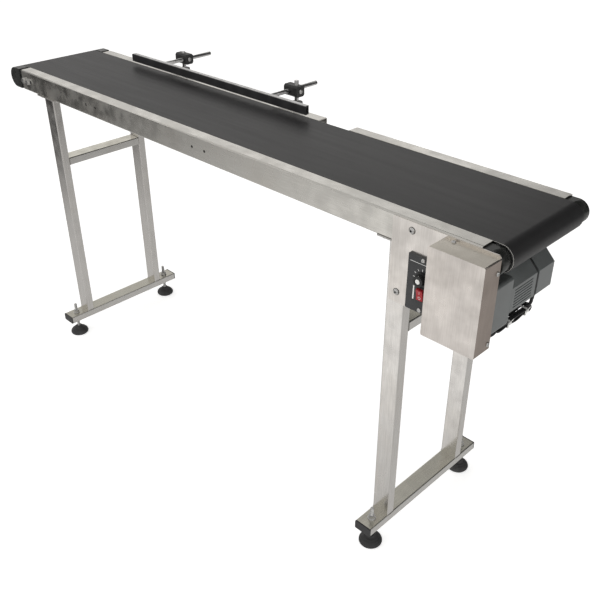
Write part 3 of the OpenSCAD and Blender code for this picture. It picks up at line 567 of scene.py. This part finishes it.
def add_box(form, low, high, bevel=0.0, turn=None):
    """A box between two corners, with rounded edges, turned by a matrix."""
    low, high = Vector(low), Vector(high)
    made = bmesh.ops.create_cube(form, size=1.0)
    centre, size = (low + high) / 2, high - low
    for vert in made["verts"]:
        vert.co = Vector(vert.co[i] * size[i] + centre[i] for i in range(3))
    if bevel:
        edges = {edge for vert in made["verts"] for edge in vert.link_edges}
        made = bmesh.ops.bevel(form, geom=list(edges), offset=bevel, segments=2, affect="EDGES",
                               profile=0.5)
    if turn:
        for vert in made["verts"]:
            vert.co = turn @ vert.co


def finish_form(form, name, smooth=False):
    """Turns a form under construction into a mesh with its faces looking outwards."""
    bmesh.ops.recalc_face_normals(form, faces=form.faces)
    mesh = bpy.data.meshes.new(name)
    form.to_mesh(mesh)
    form.free()
    if smooth:
        mesh.shade_smooth()
    return mesh


# ---------- belt ----------

def loop_points(radius, run_z):
    """Closed loop of (x, z) round both drums and over the return idlers, for one radius on the noses."""
    reach = math.hypot(AXIS_X - IDLER_X, AXIS_Z - run_z)
    slope = math.atan2(AXIS_Z - run_z, AXIS_X - IDLER_X) - math.asin(radius / reach)
    nose_steps = 40
    start, end = math.pi / 2, -math.pi / 2 + slope
    nose = [(AXIS_X + radius * math.cos(a), AXIS_Z + radius * math.sin(a))
            for a in (start + (end - start) * i / nose_steps for i in range(nose_steps + 1))]
    run_steps = 12
    top = [(-AXIS_X + 2 * AXIS_X * i / run_steps, AXIS_Z + radius) for i in range(1, run_steps)]
    returning = [(IDLER_X - 2 * IDLER_X * i / 6, run_z) for i in range(7)]
    tail = [(-x, z) for x, z in reversed(nose)]
    return top + nose + returning + tail


def belt_layer(name, outer, inner, half, material, edge_round):
    """One layer of the belt between two depths below its outer surface."""
    rings = []
    outside = loop_points(NOSE_R - outer, RETURN_Z + outer)
    inside = loop_points(NOSE_R - inner, RETURN_Z + inner)
    for (x0, z0), (x1, z1) in zip(outside, inside):
        out, deep = Vector((x0, 0, z0)), Vector((x1, 0, z1))
        inward = deep - out
        lip = edge_round / max(inward.length, 1e-6)
        flat = Vector((0, 1, 0)) * (half - edge_round)
        rim = Vector((0, 1, 0)) * half
        rings.append([out - flat, out + flat,
                      out + inward * lip + rim, deep - inward * lip + rim,
                      deep + flat, deep - flat,
                      deep - inward * lip - rim, out + inward * lip - rim])
    mesh = grid_mesh(name, rings, closed_rings=True)
    mesh.set_sharp_from_angle(angle=math.radians(35))
    return add_piece(name, mesh, material, "frame", ["conveyor_belt"])


def make_belt():
    """The cover all round and, a little wider, the pale ply that shows at the cut edge."""
    belt_layer("belt_cover", 0.0, BELT_T, BELT_HALF - 0.15 * MM, "belt", 0.25 * MM)
    belt_layer("belt_ply_edge", 0.55 * MM, 1.35 * MM, BELT_HALF, "ply", 0.1 * MM)


# ---------- feet ----------

def threaded_rod(form, centre, radius, z0, z1, pitch=1.25 * MM, depth=0.5 * MM, sides=20):
    """Stud with a real helical thread: the radius rises and falls along the helix, and the top is
    chamfered."""
    rings_per_pitch = 6
    lead_in, chamfer = 1.2 * MM, 0.8 * MM
    steps = int((z1 - z0) / pitch * rings_per_pitch)
    rings = []
    for i in range(steps + 1):
        z = z0 + (z1 - z0) * i / steps
        fade = min(1.0, (z1 - z) / lead_in)
        ring = []
        for k in range(sides):
            turn = k / sides
            phase = ((z - z0) / pitch - turn) % 1.0
            cut = depth * abs(2 * phase - 1)
            size = radius - cut - (1 - fade) * chamfer
            ring.append(Vector(centre) + Vector((size * math.cos(2 * math.pi * turn),
                                                 size * math.sin(2 * math.pi * turn), z)))
        rings.append(ring)
    add_grid(form, rings)


# Outline of the pad as (radius, height) in millimetres
FOOT_PROFILE = [(1, 0), (20, 0), (23.2, 1), (24.4, 2.6), (25, 4.6), (24.8, 6.4), (23.9, 7.4), (24.1, 8.6),
                (23.2, 10.2), (21.6, 11.2), (21.6, 12.2), (19.8, 13.8), (17.2, 14.8), (17, 15.8),
                (14.6, 17.2), (12, 18), (11.7, 19), (10.2, 20), (9.4, 21), (9, 23), (1, 23)]


PAD_RIBS = 32
RIB_DEPTH = 0.018        # as a share of the radius
RIBBED_HEIGHTS = (2, 18)  # in millimetres


def pad_radius(radius, height, angle):
    """Radius of the pad at an angle: its dome has shallow ribs, its rim and its neck are plain."""
    low, high = RIBBED_HEIGHTS
    rib = RIB_DEPTH if low < height < high else 0.0
    return radius * MM * (1 - rib * (0.5 + 0.5 * math.cos(PAD_RIBS * angle)))


def make_foot(node, body):
    """Ribbed domed pad and its threaded stud."""
    low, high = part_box(node)
    centre = ((low.x + high.x) / 2, (low.y + high.y) / 2, low.z)
    rings = []
    for r, z in FOOT_PROFILE:
        rings.append([Vector((centre[0] + pad_radius(r, z, a) * math.cos(a),
                              centre[1] + pad_radius(r, z, a) * math.sin(a),
                              centre[2] + z * MM))
                      for a in turns(3 * PAD_RIBS)])
    pad = grid_mesh(node + "_pad", rings)
    pad.set_sharp_from_angle(angle=math.radians(50))
    add_piece(node + "_pad", pad, "pad", body, [node])
    form = bmesh.new()
    threaded_rod(form, (centre[0], centre[1], 0), 4 * MM, low.z + 22 * MM, high.z)
    add_piece(node + "_stud", finish_form(form, node + "_stud"), "zinc", body, [node])


# ---------- leads and hank ----------

def in_metres(points):
    """The points of a route in millimetres, as vectors in metres."""
    return [Vector(p) * MM for p in points]


def make_leads():
    """The two leads and the gland of the motor's."""
    for name, route in (("motor_lead", MOTOR_ROUTE), ("controller_lead", CONTROLLER_ROUTE)):
        mesh = grid_mesh(name + "_sheath", tube_rings(smooth_route(in_metres(route)), LEAD_R))
        add_piece(name + "_sheath", mesh, "cable", "frame", [name])
    # gland where the motor lead leaves the terminal side, tapered round the lead
    route = smooth_route(in_metres(MOTOR_ROUTE[:4]))
    mesh = grid_mesh("motor_lead_gland", tube_rings(route, lambda t: LEAD_R * (1.35 - 0.3 * t), 20))
    add_piece("motor_lead_gland", mesh, "plastic", "frame")


def make_hank():
    """The spare lead: six folded runs that lie beside each other and spread a little at the folds."""
    radius = LEAD_R - 0.5 * MM
    xs = [HANK_LOW.x + radius + (HANK_HIGH.x - HANK_LOW.x - 2 * radius) * f for f in (0.0, 0.5, 1.0)]
    top, bottom = HANK_HIGH.z - radius, HANK_LOW.z + radius
    end_inset, fold_reach = 6 * MM, 5.2 * MM
    near, far = HANK_LOW.y + end_inset, HANK_HIGH.y - end_inset
    runs = [(xs[0], top), (xs[1], top), (xs[2], top), (xs[2], bottom), (xs[1], bottom), (xs[0], bottom)]
    points = []
    for i, (x, z) in enumerate(runs):
        ahead = i % 2 == 0
        bow = 1.6 * MM if i % 3 else -1.0 * MM
        # the run bows sideways between its ends and its middle, and sags in the middle
        stations = [near] + [near + share * (far - near) for share in (0.3, 0.55, 0.8)] + [far]
        bows = (0.0, bow, 0.0, bow, 0.0)
        sags = (0.0, 0.0, 1.2 * MM, 0.0, 0.0)
        if not ahead:
            stations.reverse()
        for y, sideways, sag in zip(stations, bows, sags):
            points.append(Vector((x + sideways, y, z - sag)))
        if i + 1 < len(runs):
            nx, nz = runs[i + 1]
            out = fold_reach if ahead else -fold_reach
            points.append(Vector(((x + nx) / 2, stations[-1] + out, (z + nz) / 2)))
    mesh = grid_mesh("lead_hank_runs", tube_rings(smooth_route(points, 6), radius))
    add_piece("lead_hank_runs", mesh, "cable", "frame", ["lead_hank"])


def make_tie_heads():
    """Ratchet head and cut tail of each tie round the spare lead."""
    low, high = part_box("lead_ties")
    z = high.z - 4.5 * MM
    form = bmesh.new()
    for y in (low.y + 2 * MM, high.y - 2 * MM):
        add_box(form, (high.x - 0.2 * MM, y - 2.6 * MM, z - 2.4 * MM),
                (high.x + 3.4 * MM, y + 2.6 * MM, z + 2.4 * MM), 0.5 * MM)
        pivot = Matrix.Translation((high.x + 1.2 * MM, y, z))
        lean = pivot @ Matrix.Rotation(math.radians(28), 4, "Y")
        add_box(form, (-0.45 * MM, -1.7 * MM, 1.5 * MM), (0.45 * MM, 1.7 * MM, 12 * MM), 0.2 * MM, lean)
    add_piece("tie_heads", finish_form(form, "tie_heads"), "white", "frame")


# ---------- controller ----------

def make_panel_marks():
    """Scale ticks round the knob, a line under the top screws and one beside the switch."""
    face = PANEL_LOW.y
    form = bmesh.new()
    thick = 0.12 * MM
    for i in range(11):
        angle = math.radians(240 - 30 * i)
        turn = Matrix.Translation((PANEL_X, 0, KNOB_Z)) @ Matrix.Rotation(-angle, 4, "Y")
        add_box(form, (14.4 * MM, face - thick, -0.55 * MM), (18.0 * MM, face + thick, 0.55 * MM), 0, turn)
    add_box(form, (PANEL_X - 26 * MM, face - thick, PANEL_HIGH.z - 13.4 * MM),
            (PANEL_X + 26 * MM, face + thick, PANEL_HIGH.z - 12.6 * MM))
    add_box(form, (PANEL_X - 16.2 * MM, face - thick, SWITCH_Z - 14 * MM),
            (PANEL_X - 13.6 * MM, face + thick, SWITCH_Z + 12 * MM))
    add_piece("panel_marks", finish_form(form, "panel_marks"), "print", "frame")


def make_knob_cap():
    """Pale cap pressed into the knob, with a raised pointer."""
    face = KNOB_FACE
    profile = [(0.4, -0.4), (2.6, -0.35), (4.4, 0.0), (5.0, 0.5), (5.1, 1.6), (0.4, 1.6)]
    rings = [[Vector((PANEL_X + r * MM * math.cos(a), face + y * MM, KNOB_Z + r * MM * math.sin(a)))
              for a in turns(40)] for r, y in profile]
    add_piece("knob_cap", grid_mesh("knob_cap", rings), "white", "knob")
    form = bmesh.new()
    add_box(form, (PANEL_X - 0.6 * MM, face + 0.6 * MM, KNOB_Z + 6.6 * MM),
            (PANEL_X + 0.6 * MM, face + 1.8 * MM, KNOB_Z + 10.2 * MM), 0.2 * MM)
    add_piece("knob_pointer", finish_form(form, "knob_pointer"), "print", "knob")


def make_switch_marks():
    """On and off marks, a bar and a ring, printed on the rocker's face."""
    tilt = Matrix.Rotation(math.radians(8), 4, "X")
    middle = Vector((PANEL_X, PANEL_LOW.y, SWITCH_Z))
    # radius of the rocker's hollow face and its centre along Y; size and place of the ring mark
    curve_r, curve_y = 43 * MM, -46.5 * MM
    ring_r, ring_z = 2.4 * MM, -5.2 * MM
    form = bmesh.new()
    ring = [(ring_r * math.cos(a), ring_z + ring_r * math.sin(a)) for a in turns(24)]
    bar = [(0.0, (2.2 + 0.8 * i) * MM) for i in range(7)]
    for points in (ring + ring[:1], bar):
        route = []
        for x, z in points:
            y = curve_y + math.sqrt(curve_r * curve_r - z * z) - 0.02 * MM
            route.append(middle + tilt @ Vector((x, y, z)))
        add_grid(form, tube_rings(route, 0.35 * MM, 8))
    add_piece("switch_marks", finish_form(form, "switch_marks", True), "print", "rocker")


# ---------- threaded inserts and washers ----------

# Free holes of the front rail along X, and the side plate's two screws in X and Z, in millimetres
INSERT_HOLES_X = (-390, -350, 10, 50)
PLATE_SCREWS = ((580, 732), (557, 608))


def add_turned_ring(form, x, z, face_y, profile, sides=32):
    """A ring turned about a line along Y, from its closed profile of (radius, depth) in millimetres."""
    rows = []
    for radius, depth in profile:
        rows.append([form.verts.new((x * MM + radius * MM * math.cos(a), face_y + depth * MM,
                                     z + radius * MM * math.sin(a)))
                     for a in turns(sides)])
    for first, second in zip(rows, rows[1:] + rows[:1]):
        for k in range(sides):
            n = (k + 1) % sides
            form.faces.new((first[k], first[n], second[n], second[k]))


def make_inserts():
    """Blind threaded inserts behind the free holes of the front rail: a dark rim and a closed bore."""
    web_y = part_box("side_rail_front")[0].y
    profile = [(2.2, 1.2), (2.9, 0.9), (2.9, 0.6), (2.95, 2.0), (4.6, 2.05), (4.6, 10),
               (0.3, 10.6), (0.3, 6.0), (2.1, 5.6)]
    form = bmesh.new()
    for hole_x in INSERT_HOLES_X:
        add_turned_ring(form, hole_x, AXIS_Z, web_y, profile)
    mesh = finish_form(form, "web_inserts", smooth=True)
    add_piece("web_inserts", mesh, "black_oxide", "frame")


def make_plate_washers_and_socket_shadow():
    """Dark washer under each of the side plate's two screws, and a dark disc on the floor of its socket as
    painted shadow.
    """
    plate_face = PANEL_HIGH.y
    washer = [(5.6, -0.45), (6.3, -0.4), (6.6, -0.2), (6.6, 0.1), (5.6, 0.1)]
    # dark disc at the bottom of each screw's socket: painted shadow
    socket = [(0.1, -1.75), (1.9, -1.75), (1.9, -1.5), (0.1, -1.5)]
    form = bmesh.new()
    for x, z in PLATE_SCREWS:
        for profile in (washer, socket):
            add_turned_ring(form, x, z * MM, plate_face, profile)
    mesh = finish_form(form, "plate_washers_and_socket_shadow")
    add_piece("plate_washers_and_socket_shadow", mesh, "black_oxide", "frame")


# ---------- welds ----------

def weld_bead(form, start, end, radius=1.3 * MM):
    """Rippled bead along a line."""
    start, end = Vector(start), Vector(end)
    count = max(8, int((end - start).length / (0.7 * MM)))
    route = [start.lerp(end, i / count) for i in range(count + 1)]

    def size(t):
        ripple = 0.86 + 0.14 * math.cos(t * count * 1.6)
        ends = min(1.0, 0.4 + 8 * min(t, 1 - t))
        return radius * ripple * ends

    add_grid(form, tube_rings(route, size, 10))


def make_welds():
    """Beads where uprights stand on the foot beams and where the crossbars meet the uprights."""
    form = bmesh.new()
    beam_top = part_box("foot_beams")[1].z
    cross_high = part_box("leg_crossbars")[1]
    for name in ("uprights_tail", "uprights_drive"):
        low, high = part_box(name)
        for side in (-1, 1):
            outer = side * high.y
            inner = side * cross_high.y
            for x in (low.x, high.x):
                weld_bead(form, (x, outer, beam_top), (x, inner, beam_top))
                weld_bead(form, (x, inner, cross_high.z - 19 * MM), (x, inner, cross_high.z - 1 * MM))
            back_face = outer if side > 0 else inner
            weld_bead(form, (low.x + 2 * MM, back_face, beam_top), (high.x - 2 * MM, back_face, beam_top))
            weld_bead(form, (low.x + 1 * MM, inner, cross_high.z), (high.x - 1 * MM, inner, cross_high.z))
    add_piece("weld_beads", finish_form(form, "weld_beads", smooth=True), "weld", "frame")


# ---------- build ----------

make_camera()
make_world()
make_floor()
make_lights()
bpy.context.scene.view_settings.view_transform = "Standard"

finish_cad_nodes()
make_leads()
make_hank()
make_tie_heads()
make_belt()
for end in ("tail", "drive"):
    for place in ("front", "back"):
        make_foot("foot_" + end + "_" + place, "leveller_" + end + "_" + place)
make_panel_marks()
make_knob_cap()
make_switch_marks()
make_inserts()
make_plate_washers_and_socket_shadow()
make_welds()
